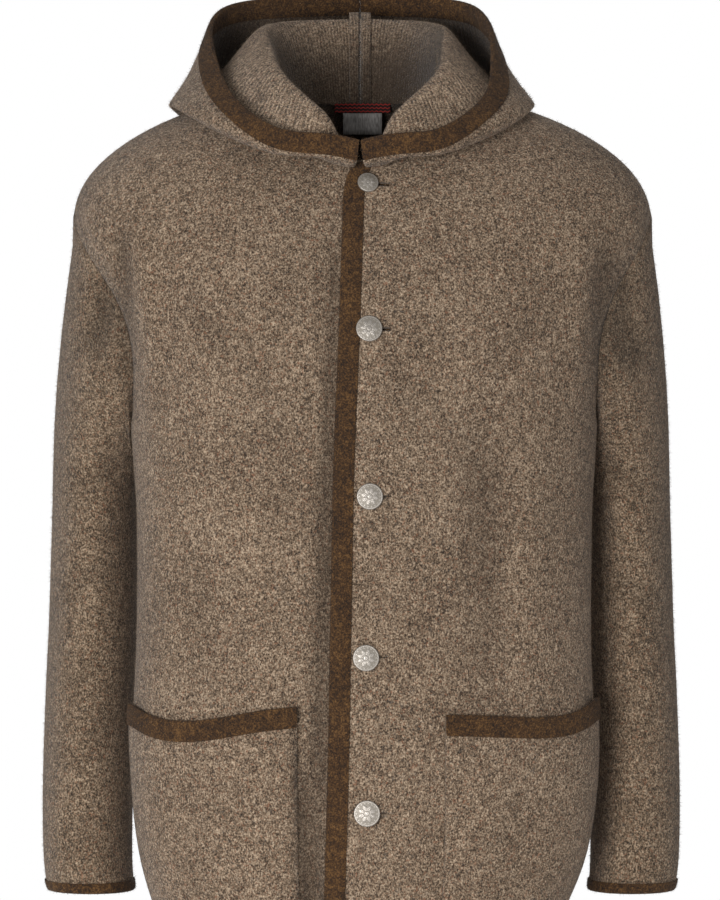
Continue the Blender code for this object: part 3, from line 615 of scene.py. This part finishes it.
def finished_mesh(wall, name, roundness, finishes):
    """Rounds the wall between its crisp edges and hangs it in its creases."""
    rough = bpy.data.meshes.new("rough_" + name)
    wall.to_mesh(rough)
    wall.free()
    for finish in finishes:
        rough.materials.append(finish)
    piece = bpy.data.objects.new(name, rough)
    scene.collection.objects.link(piece)
    rounding = piece.modifiers.new("rounding", "SUBSURF")
    rounding.levels = roundness
    rounding.render_levels = roundness
    rounding.boundary_smooth = "PRESERVE_CORNERS"
    smooth = bpy.data.meshes.new_from_object(piece.evaluated_get(bpy.context.evaluated_depsgraph_get()))
    piece.modifiers.clear()
    piece.data = smooth
    smooth.name = name
    bpy.data.meshes.remove(rough)
    # How deep its crease sets each corner in, which the wool shows as painted shade.
    painted_crease_shade = smooth.attributes.new("painted_crease_shade", "FLOAT", "POINT")
    # How far each corner faces the neck's middle, which the wrong side shows as painted shade inside
    # the hood's stand.
    faces_neck = smooth.attributes.new("faces_neck", "FLOAT", "POINT")
    facing = [corner.normal.xy for corner in smooth.vertices]
    for corner in smooth.vertices:
        hung = draped(corner.co)
        inwards = (NECK_MIDDLE - corner.co.xy).normalized()
        turned = facing[corner.index].dot(inwards)
        faces_neck.data[corner.index].value = turned * (hung.z > NECK_BOTTOM)
        forward = corner.co.y < middle_y(corner.co.x, corner.co.z)
        painted_crease_shade.data[corner.index].value = (hung.y - corner.co.y) * (1.0 if forward else -1.0)
        if name.startswith(FRONTS):
            hung.y += taken_up(corner.co.y, corner.co.z)
        corner.co = hung
    smooth.shade_smooth()
    smooth.set_sharp_from_angle(angle=SHARP_CORNER)
    return piece


def cloth(node_name, roundness, right_side):
    """One panel of loden in place of its plain solid, with its two sides finished apart."""
    wall, crisp = wall_of(node_name, bends=True)
    for face in min(sides_of(wall, crisp)[:2], key=reach):
        face.material_index = 1
    piece = finished_mesh(wall, node_name + "_loden", roundness, (right_side, WOOL_WRONG))
    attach(piece, "root")
    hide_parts(node_name)
    return piece


# Loose fibres that the milling leaves standing on the cloth's right side and on the braid.
# Each leans its own way, and one that would lie flat or point inwards is lifted.
HAIR_LENGTH = (0.0014, 0.0042)
HAIR_HALF_WIDTH = 0.00010
HAIR_LEAN = 1.1
HAIR_LOWEST = 0.12
HAIR_LIFT = 0.5
HAIR_LIGHT = (0.50, 0.38, 0.27)
HAIR_PATCH = 0.0016
HAIR_ROUGHNESS = 0.9
HAIR_SHEEN = 0.05


def hairs(piece, count, finish, seed, longest=1.0):
    """Slim blades of fibre over a piece, more of them where it has more surface."""
    mesh = piece.data
    draw = np.random.default_rng(seed)
    mesh.calc_loop_triangles()
    corners = np.empty(len(mesh.vertices) * 3)
    mesh.vertices.foreach_get("co", corners)
    corners = corners.reshape(-1, 3)
    faces = np.empty(len(mesh.loop_triangles) * 3, dtype=np.int64)
    mesh.loop_triangles.foreach_get("vertices", faces)
    a, b, c = (corners[column] for column in faces.reshape(-1, 3).T)
    upright = np.cross(b - a, c - a)
    size = np.linalg.norm(upright, axis=1)
    chosen = draw.choice(len(size), count, p=size / size.sum())
    first, second = draw.random((2, count, 1))
    over = first + second > 1.0
    first, second = np.where(over, 1.0 - first, first), np.where(over, 1.0 - second, second)
    root = a[chosen] + first * (b - a)[chosen] + second * (c - a)[chosen]
    normal = upright[chosen] / size[chosen][:, None]
    lean = draw.normal(size=(count, 3))
    way = normal + HAIR_LEAN * lean / np.linalg.norm(lean, axis=1)[:, None]
    way /= np.linalg.norm(way, axis=1)[:, None]
    under = (way * normal).sum(axis=1)[:, None] < HAIR_LOWEST
    way = np.where(under, way + HAIR_LIFT * normal, way)
    low, high = HAIR_LENGTH
    length = (low + (high - low) * draw.random((count, 1)) ** 2) * longest
    side = np.cross(way, draw.normal(size=(count, 3)))
    side *= HAIR_HALF_WIDTH / np.linalg.norm(side, axis=1)[:, None]
    points = np.stack((root - side, root + side, root + way * length), axis=1).reshape(-1, 3)
    blades = bpy.data.meshes.new(piece.name + "_hairs")
    blades.from_pydata(points.tolist(), [], np.arange(3 * count).reshape(-1, 3).tolist())
    blades.materials.append(finish)
    hair = bpy.data.objects.new(piece.name + "_hairs", blades)
    scene.collection.objects.link(hair)
    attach(hair, "root")
    return hair


hair_finish, hair_shader, hair_place = new_finish("loden_hairs", HAIR_ROUGHNESS, sheen=HAIR_SHEEN)
feed(
    hair_shader,
    "Base Color",
    hair_place.noise(HAIR_PATCH, 1.0).ramp((0.38, WOOL_DARK), (0.5, WOOL_MIDDLE), (0.62, HAIR_LIGHT)),
)

# Felted wool braid, folded over every raw edge and sewn through: dark moss brown, with a fuzzy
# face. It laps 18 mm over each face, but about 16 mm at the hem and 9 mm at the cuffs.
BRAID_DARK = (0.011, 0.0045, 0.0012)
BRAID_MIDDLE = (0.055, 0.023, 0.005)
BRAID_LIGHT = (0.200, 0.100, 0.030)
BRAID_ROUGHNESS = 0.95
BRAID_SHEEN = 0.02
BRAID_SHEEN_ROUGHNESS = 0.5
BRAID_FLECK = 0.0016
BRAID_CLUMP = 0.0050
BRAID_PATCH = 0.030
BRAID_FLECK_SHARE = 0.62
BRAID_CLUMP_SHARE = 0.24
BRAID_PATCH_SHARE = 0.14
BRAID_RELIEF = 0.0035
BRAID_RELIEF_STRENGTH = 0.9
BRAID_ROUNDNESS = 2
BRAID_CRISPNESS = 0.8
BRAID_HAIR_SHEEN = 0.03
BRAID_HAIR_LENGTH = 0.75
BRAID_SEED = 61
BRAIDS = (
    # node, the piece whose edge it binds, hairs
    ("front_binding_left", "front_left", 16000),
    ("front_binding_right", "front_right", 6000),
    ("hem_binding_left", "front_left", 5000),
    ("hem_binding_right", "front_right", 5000),
    ("hem_binding_back", "back", 9000),
    ("hood_binding_left", "hood_left", 11000),
    ("hood_binding_right", "hood_right", 11000),
    ("cuff_binding_left", "sleeve_left", 4000),
    ("cuff_binding_right", "sleeve_right", 4000),
    ("pocket_binding_left", "pocket_left", 5000),
    ("pocket_binding_right", "pocket_right", 5000),
)

braid_finish, braid_shader, braid_place = new_finish("felted_braid", BRAID_ROUGHNESS, sheen=BRAID_SHEEN)
braid_shader.inputs["Sheen Roughness"].default_value = BRAID_SHEEN_ROUGHNESS
braid_mix = (
    braid_place.noise(BRAID_FLECK, 3.0, 0.62) * BRAID_FLECK_SHARE
    + braid_place.noise(BRAID_CLUMP, 2.0, 0.5) * BRAID_CLUMP_SHARE
    + braid_place.noise(BRAID_PATCH, 1.0, 0.5) * BRAID_PATCH_SHARE
)
feed(
    braid_shader,
    "Base Color",
    braid_mix.ramp((0.38, BRAID_DARK), (0.50, BRAID_MIDDLE), (0.68, BRAID_LIGHT)),
)
feed(braid_shader, "Normal", bump(braid_place, braid_mix, BRAID_RELIEF, BRAID_RELIEF_STRENGTH))

fuzz_finish, fuzz_shader, fuzz_place = new_finish("braid_hairs", HAIR_ROUGHNESS, sheen=BRAID_HAIR_SHEEN)
fuzz = fuzz_place.noise(HAIR_PATCH, 1.0)
feed(
    fuzz_shader,
    "Base Color",
    fuzz.ramp((0.35, BRAID_DARK), (0.52, BRAID_MIDDLE), (0.70, BRAID_LIGHT)),
)

bound = {}
for number, (name, panel_name, count) in enumerate(BRAIDS):
    wall, crisp = wall_of(name)
    for edge in wall.edges:
        edge[crisp] *= BRAID_CRISPNESS
    braid = finished_mesh(wall, name + "_braid", BRAID_ROUNDNESS, (braid_finish,))
    hair = hairs(braid, count, fuzz_finish, BRAID_SEED + number, BRAID_HAIR_LENGTH)
    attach(braid, "root")
    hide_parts(name)
    bound.setdefault(panel_name, []).extend((braid, hair))

# The three panels of the body. Each hangs from the shoulders, with the braid on its edges, and
# its size is that of the cut that shows.
PANEL_SEED = 11
PANELS = (
    # piece, width and length of its cut, area of its cut, hairs
    ("front_left", (0.375, 0.800), 0.2300, 70000),
    ("front_right", (0.360, 0.800), 0.2310, 70000),
    ("back", (0.620, 0.810), 0.4650, 80000),
)
for number, (name, cut, area, count) in enumerate(PANELS):
    panel = cloth(name, CLOTH_ROUNDNESS, WOOL_RIGHT)
    hair = hairs(panel, count, hair_finish, PANEL_SEED + number)

# The sleeves are set in at a dropped shoulder and taper to the cuff. Each is cut in one piece,
# as wide as the sleeve is round at its top.
SLEEVES = (("sleeve_left", 0.1880), ("sleeve_right", 0.1900))
SLEEVE_HAIRS = 60000
SLEEVE_SEED = 21
for number, (name, area) in enumerate(SLEEVES):
    # In the darker copy of the loden, whose darkness is painted shade.
    sleeve = cloth(name, CLOTH_ROUNDNESS, WOOL_SLEEVE_SHADED)
    hair = hairs(sleeve, SLEEVE_HAIRS, hair_finish, SLEEVE_SEED + number)

# The hood, two halves joined down the middle, lies back on the shoulders with its edge rolled
# out, so the wrong side of the knit shows inside it. The two allowances of the middle seam lie
# pressed open inside, in the same loden.
HOOD_HALVES = (("hood_left", 0.1190), ("hood_right", 0.1310))
HOOD_HAIRS = 50000
HOOD_SEED = 31
ALLOWANCE_ROUNDNESS = 2
for number, (name, area) in enumerate(HOOD_HALVES):
    half = cloth(name, CLOTH_ROUNDNESS, WOOL_RIGHT)
    hair = hairs(half, HOOD_HAIRS, hair_finish, HOOD_SEED + number)
    allowance = name.replace("hood", "hood_seam")
    wall, crisp = wall_of(allowance)
    strip = finished_mesh(wall, allowance + "_loden", ALLOWANCE_ROUNDNESS, (WOOL_WRONG,))
    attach(strip, "root")
    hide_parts(allowance)

# Two patch pockets, laid on the fronts at hip height, each with braid over its top edge. The
# right one's mouth sags a little, where a hand has drawn it down.
POCKET_HAIRS = 14000
POCKET_SEED = 41
for number, name in enumerate(("pocket_left", "pocket_right")):
    pocket = cloth(name, CLOTH_ROUNDNESS, WOOL_RIGHT)
    hair = hairs(pocket, POCKET_HAIRS, hair_finish, POCKET_SEED + number)

# Five cast metal buttons in old silver, 24 mm across but for a smaller one at the neck: a
# corded rim, a ring of beads and a plain rosette. Each hangs by its shank from a buttonhole.
BUTTON_SIZES = (0.0096, 0.0120, 0.0120, 0.0120, 0.0120)
BUTTON_TURN = 0.7
BUTTON_THICK = 0.0022
BUTTON_STAND = 0.0025
SHANK_RADIUS = 0.0022
EDGE_ROUND = 0.0005
DOME_RISE = 0.0012
FACE_RINGS = 30
BUTTON_STEPS = 96
BUTTON_SHARP = math.radians(50)
SAME_PLACE = 0.00001
POLE_EDGES = 12

# The stamped relief. Rings and edges are in shares of the button's radius.
RELIEF_RISE = 0.00024
PLAIN_RELIEF = 0.35
CORD_RING = (0.93, 0.05)
CORD_TURNS = 48
CORD_SLANT = 60.0
CORD_DEPTH = 0.28
BEAD_RING = (0.79, 0.045)
BEADS = 36
PETALS = 8
PETAL_START = (0.20, 0.28)
PETAL_SHORTEST = 0.24
PETAL_LENGTH = 0.42
PETAL_BLUNTNESS = 0.7
PETAL_EDGE = (-0.06, 0.04)
PETAL_GAP = (0.12, 0.40)
PETAL_RIB_DEPTH = 0.25
BOSS_EDGE = (0.13, 0.20)

SILVER_DARK = (0.27, 0.24, 0.20)
SILVER_MIDDLE = (0.37, 0.335, 0.295)
SILVER_LIGHT = (0.44, 0.40, 0.355)
SILVER_METALLIC = 0.62
SILVER_ROUGHNESS = 0.52
SILVER_POLISH = 0.24
RIDGE_SHARE = 0.7
TARNISH_SHARE = 0.30
TARNISH_SIZE = 0.0012
PITTING_SIZE = 0.0006
PITTING_DEPTH = 0.0004
PITTING_STRENGTH = 0.5

silver, silver_shader, silver_place = new_finish(
    "old_silver", SILVER_ROUGHNESS, metallic=SILVER_METALLIC
)
relief = silver_place.node("ShaderNodeAttribute", {"attribute_name": "relief"}, (), "Fac")
tarnish = relief * RIDGE_SHARE + silver_place.noise(TARNISH_SIZE, 3.0, 0.6) * TARNISH_SHARE
pitting = silver_place.noise(PITTING_SIZE, 3.0, 0.6)
feed(
    silver_shader,
    "Base Color",
    tarnish.ramp((0.10, SILVER_DARK), (0.42, SILVER_MIDDLE), (0.85, SILVER_LIGHT)),
)
feed(silver_shader, "Roughness", SILVER_ROUGHNESS - SILVER_POLISH * relief)
feed(silver_shader, "Normal", bump(silver_place, pitting, PITTING_DEPTH, PITTING_STRENGTH))


def raised(share, middle, half):
    """The height of a rounded ring at a share of the button's radius."""
    return math.exp(-(((share - middle) / half) ** 2))


def button_relief(share, turn):
    """The stamped relief's height, from 0 in its hollows to 1 on its ridges."""
    twist = math.sin(turn * CORD_TURNS + CORD_SLANT * share)
    cord = raised(share, *CORD_RING) * (1.0 - CORD_DEPTH + CORD_DEPTH * twist)
    bead = raised(share, *BEAD_RING) * max(0.0, math.cos(turn * BEADS / 2)) ** 2
    outwards = abs(math.cos(turn * PETALS / 2))
    tip = PETAL_SHORTEST + PETAL_LENGTH * outwards ** PETAL_BLUNTNESS
    past_tip = ease(share, tip + PETAL_EDGE[0], tip + PETAL_EDGE[1])
    inside = ease(share, *PETAL_START) * (1.0 - past_tip)
    rib = 1.0 - PETAL_RIB_DEPTH + PETAL_RIB_DEPTH * math.cos(turn * PETALS * 3)
    petal = inside * ease(outwards, *PETAL_GAP) * rib
    boss = 1.0 - ease(share, *BOSS_EDGE)
    return min(1.0, max(cord, bead, petal, boss))


def metal_button(node_name, size, turned):
    """One button on its plain node's place: a spun blank, stamped with the relief."""
    plain = bmesh.new()
    plain.from_mesh(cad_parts[node_name].data)
    bmesh.ops.remove_doubles(plain, verts=plain.verts, dist=SAME_PLACE)
    poles = [corner.co.copy() for corner in plain.verts if len(corner.link_faces) > POLE_EDGES]
    poles.sort(key=lambda pole: pole.y)
    front, shank = poles[0], poles[-1]
    plain.free()
    outward = (front - shank).normalized()
    face_height = BUTTON_STAND + BUTTON_THICK
    base = front - outward * (face_height + DOME_RISE)
    profile = [
        (size * step / FACE_RINGS, face_height + DOME_RISE * math.cos(math.pi / 2 * step / FACE_RINGS))
        for step in range(FACE_RINGS)
    ]
    profile += [
        (size, face_height - EDGE_ROUND),
        (size, BUTTON_STAND + EDGE_ROUND),
        (size - EDGE_ROUND, BUTTON_STAND),
        (SHANK_RADIUS, BUTTON_STAND),
        (SHANK_RADIUS, 0.0),
        (0.0, 0.0),
    ]
    blank = bmesh.new()
    line = [blank.verts.new((radius, 0.0, height)) for radius, height in profile]
    edges = [blank.edges.new(pair) for pair in zip(line[:-1], line[1:])]
    bmesh.ops.spin(
        blank,
        geom=line + edges,
        cent=(0, 0, 0),
        axis=(0, 0, 1),
        angle=math.tau,
        steps=BUTTON_STEPS,
        use_merge=True,
    )
    bmesh.ops.remove_doubles(blank, verts=blank.verts, dist=SAME_PLACE)
    bmesh.ops.recalc_face_normals(blank, faces=blank.faces)
    stamped = blank.verts.layers.float.new("relief")
    for corner in blank.verts:
        x, y, height = corner.co
        if height > face_height - EDGE_ROUND / 2:
            rise = button_relief(math.hypot(x, y) / size, math.atan2(y, x))
            corner[stamped] = rise
            corner.co.z += RELIEF_RISE * (rise - 0.5)
        else:
            corner[stamped] = PLAIN_RELIEF
    facing = outward.to_track_quat("Z", "Y").to_matrix() @ Matrix.Rotation(turned, 3, "Z")
    bmesh.ops.transform(blank, matrix=Matrix.Translation(base) @ facing.to_4x4(), verts=blank.verts)
    mesh = bpy.data.meshes.new(node_name + "_silver")
    blank.to_mesh(mesh)
    blank.free()
    mesh.materials.append(silver)
    mesh.shade_smooth()
    mesh.set_sharp_from_angle(angle=BUTTON_SHARP)
    piece = bpy.data.objects.new(node_name + "_silver", mesh)
    scene.collection.objects.link(piece)
    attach(piece, "root")
    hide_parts(node_name)
    return base, outward


SEATS = [
    metal_button("button_%d" % number, size, BUTTON_TURN * number)
    for number, size in enumerate(BUTTON_SIZES, 1)
]

# Worked buttonholes in the upper front, one under each button: close bars of dark brown
# thread over both lips, and a bar across the end. The upper two reach 8 to 11 mm past the
# button's edge. The lower three lie shut, and their thread stays hidden under the button.
HOLE_START = -0.0030
HOLE_ENDS = (0.0205, 0.0205, 0.0100, 0.0100, 0.0100)
HOLE_LIP = 0.0010
BAR_LENGTH = 0.0030
BAR_LENGTHS = (0.88, 1.08)
BAR_HALF = 0.00045
BAR_STEP = 0.00085
BAR_RISE = 0.0002
BAR_OUT = 0.35
BAR_WANDER = 0.12
END_BAR_STEP = 0.0003
END_BAR_ASIDE = 0.35
BAR_SEED = 5
THREAD_DARK = (0.060, 0.040, 0.026)
THREAD_BROWN = (0.115, 0.078, 0.050)
THREAD_ROUGHNESS = 0.7
THREAD_SHEEN = 0.3
THREAD_PATCH = 0.0008

thread, thread_shader, thread_place = new_finish(
    "buttonhole_thread", THREAD_ROUGHNESS, sheen=THREAD_SHEEN
)
feed(
    thread_shader,
    "Base Color",
    thread_place.noise(THREAD_PATCH, 2.0).ramp((0.35, THREAD_DARK), (0.65, THREAD_BROWN)),
)
draw = random.Random(BAR_SEED)
bars = bmesh.new()
for (seat, outward), end in zip(SEATS, HOLE_ENDS):
    across = Vector((1.0, 0.0, 0.0))
    across = (across - outward * across.dot(outward)).normalized()
    flat = Matrix((across, outward.cross(across), outward)).transposed()
    places = [
        # along the hole, above or below it, whether it lies across the end
        (HOLE_START + BAR_STEP * step, side, False)
        for step in range(int((end - HOLE_START) / BAR_STEP))
        for side in (-1.0, 1.0)
    ]
    places += [(end + END_BAR_STEP, side * END_BAR_ASIDE, True) for side in (-1.0, 0.0, 1.0)]
    for out, side, at_end in places:
        wander = Matrix.Rotation(draw.uniform(-BAR_WANDER, BAR_WANDER), 4, "Z")
        away = HOLE_LIP if at_end else HOLE_LIP + BAR_OUT * BAR_LENGTH
        middle = seat + flat @ Vector((out, side * away, BAR_RISE))
        half = BAR_LENGTH / 2 * draw.uniform(*BAR_LENGTHS)
        size = Matrix.Diagonal((BAR_HALF, half, BAR_HALF, 1.0))
        place = Matrix.Translation(middle) @ flat.to_4x4() @ wander @ size
        bmesh.ops.create_uvsphere(bars, u_segments=6, v_segments=4, radius=1.0, matrix=place)
bars_mesh = bpy.data.meshes.new("buttonhole_bars")
bars.to_mesh(bars_mesh)
bars.free()
for corner in bars_mesh.vertices:
    corner.co = draped(corner.co)
bars_mesh.materials.append(thread)
bars_mesh.shade_smooth()
bars_piece = bpy.data.objects.new("buttonhole_bars", bars_mesh)
scene.collection.objects.link(bars_piece)
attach(bars_piece, "root")

# The neck label: a small woven satin tab, left bare, that hangs from the neck seam under the
# hanger loop.
LABEL_DARK = (0.200, 0.185, 0.175)
LABEL_LIGHT = (0.520, 0.490, 0.465)
LABEL_ROUGHNESS = 0.8
LABEL_ROUNDNESS = 2
WARP_SIZE = 0.0009
WARP_STRETCH = (1.0, 1.0, 0.12)
WARP_RELIEF = 0.0003
WARP_STRENGTH = 0.8

label, label_shader, label_place = new_finish("label_satin", LABEL_ROUGHNESS)
long_threads = label_place.node(
    "ShaderNodeMapping", (), {"Vector": label_place, "Scale": WARP_STRETCH}
)
warp = long_threads.noise(WARP_SIZE, 2.0)
feed(label_shader, "Base Color", warp.ramp((0.3, LABEL_DARK), (0.7, LABEL_LIGHT)))
feed(label_shader, "Normal", bump(label_place, warp, WARP_RELIEF, WARP_STRENGTH))
wall, crisp = wall_of("neck_label")
label_piece = finished_mesh(wall, "neck_label_satin", LABEL_ROUNDNESS, (label,))
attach(label_piece, "root")
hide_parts("neck_label")

# The hanger loop: a flat tape braided from dark red and bright red yarn, sewn at both ends to
# the neck seam.
LOOP_RED_DARK = (0.014, 0.004, 0.003)
LOOP_RED = (0.360, 0.024, 0.016)
LOOP_ROUGHNESS = 0.85
LOOP_ROUNDNESS = 3
LOOP_CRISPNESS = 0.6
PLAIT_ROWS = 1900.0
PLAIT_COLUMNS = 1500.0
PLAIT_SLANT = 0.9
PLAIT_RELIEF = 0.0002
PLAIT_STRENGTH = 0.8
PLAIT_SHARE = 0.35
YARN_PATCH = 0.0010
YARN_SHARE = 0.5
YARN_BASE = 0.15

loop, loop_shader, loop_place = new_finish("loop_yarn", LOOP_ROUGHNESS)
up = loop_place.node("ShaderNodeSeparateXYZ", (), {0: loop_place}, 2)
along = Tone(up.socket.node.outputs[0])
plait = up.maths("SINE", up * PLAIT_ROWS + PLAIT_SLANT * up.maths("SINE", along * PLAIT_COLUMNS))
yarn = plait * PLAIT_SHARE + loop_place.noise(YARN_PATCH, 2.0) * YARN_SHARE + YARN_BASE
feed(loop_shader, "Base Color", yarn.ramp((0.50, LOOP_RED_DARK), (0.72, LOOP_RED)))
feed(loop_shader, "Normal", bump(loop_place, plait, PLAIT_RELIEF, PLAIT_STRENGTH))
wall, crisp = wall_of("hanger_loop")
for edge in wall.edges:
    edge[crisp] *= LOOP_CRISPNESS
loop_piece = finished_mesh(wall, "hanger_loop_braided", LOOP_ROUNDNESS, (loop,))
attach(loop_piece, "root")
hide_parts("hanger_loop")
